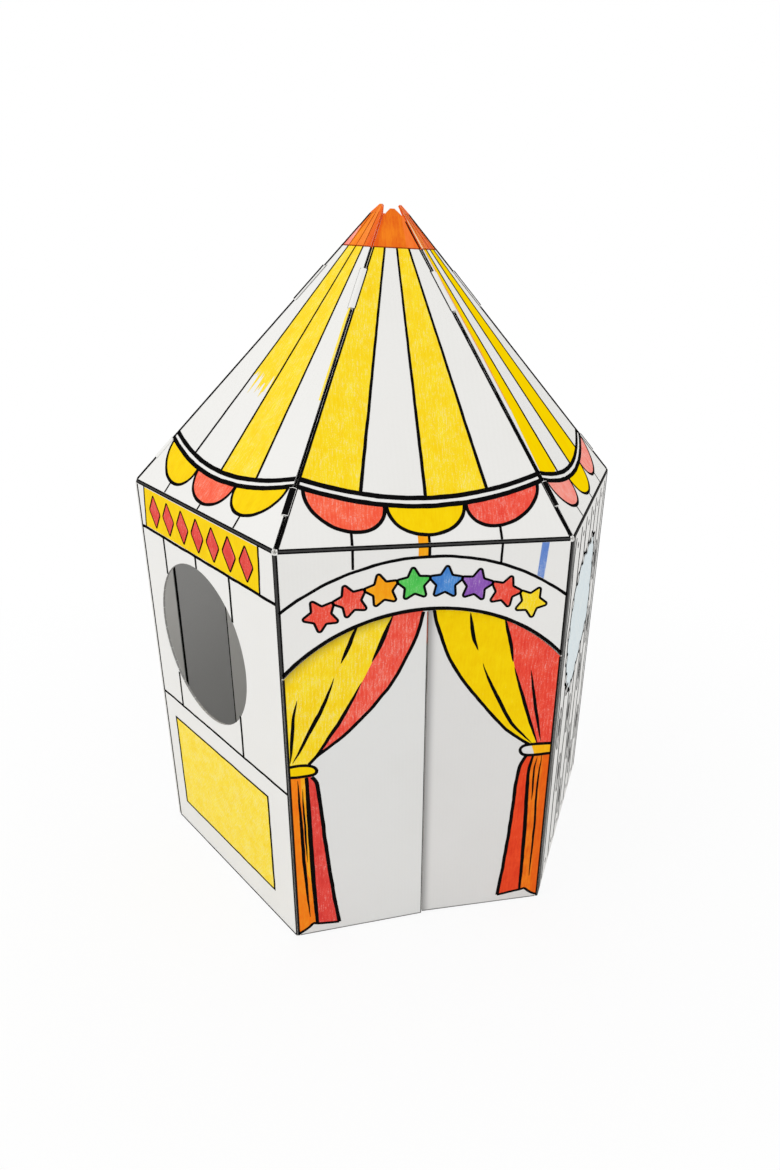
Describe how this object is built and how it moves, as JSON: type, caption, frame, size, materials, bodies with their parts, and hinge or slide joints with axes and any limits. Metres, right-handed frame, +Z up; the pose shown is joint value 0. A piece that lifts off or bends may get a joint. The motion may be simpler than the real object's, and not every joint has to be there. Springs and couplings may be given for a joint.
{
  "type": "cardboard playhouse",
  "caption": "Six-sided folded cardboard playhouse with a pointed roof, a round side window and a pair of arched doors that swing on corner creases.",
  "frame": {"origin": "on the floor, in the middle of the six-sided plan", "axes": "+Z up to the roof's point; the front wall with the doors faces -Y; +X to the right of someone facing the doors"},
  "size_m": [0.969, 0.8394, 1.2815],
  "materials": {
    "front_card": "matt white-coated corrugated board",
    "rear_card": "matt white-coated corrugated board",
    "door_card": "matt white-coated corrugated board"
  },
  "bodies": {
    "house": {"front_shell": "front_card", "rear_shell": "rear_card"},
    "left_leaf": {"left_door": "door_card"},
    "right_leaf": {"right_door": "door_card"}
  },
  "joints": [
    {"name": "left_door_swing", "type": "hinge", "parent": "house", "child": "left_leaf", "pos_m": [-0.242, -0.41916, 0.3], "axis": [0, 0, -1], "range_deg": [0, 115]},
    {"name": "right_door_swing", "type": "hinge", "parent": "house", "child": "right_leaf", "pos_m": [0.242, -0.41916, 0.3], "axis": [0, 0, 1], "range_deg": [0, 115]}
  ]
}
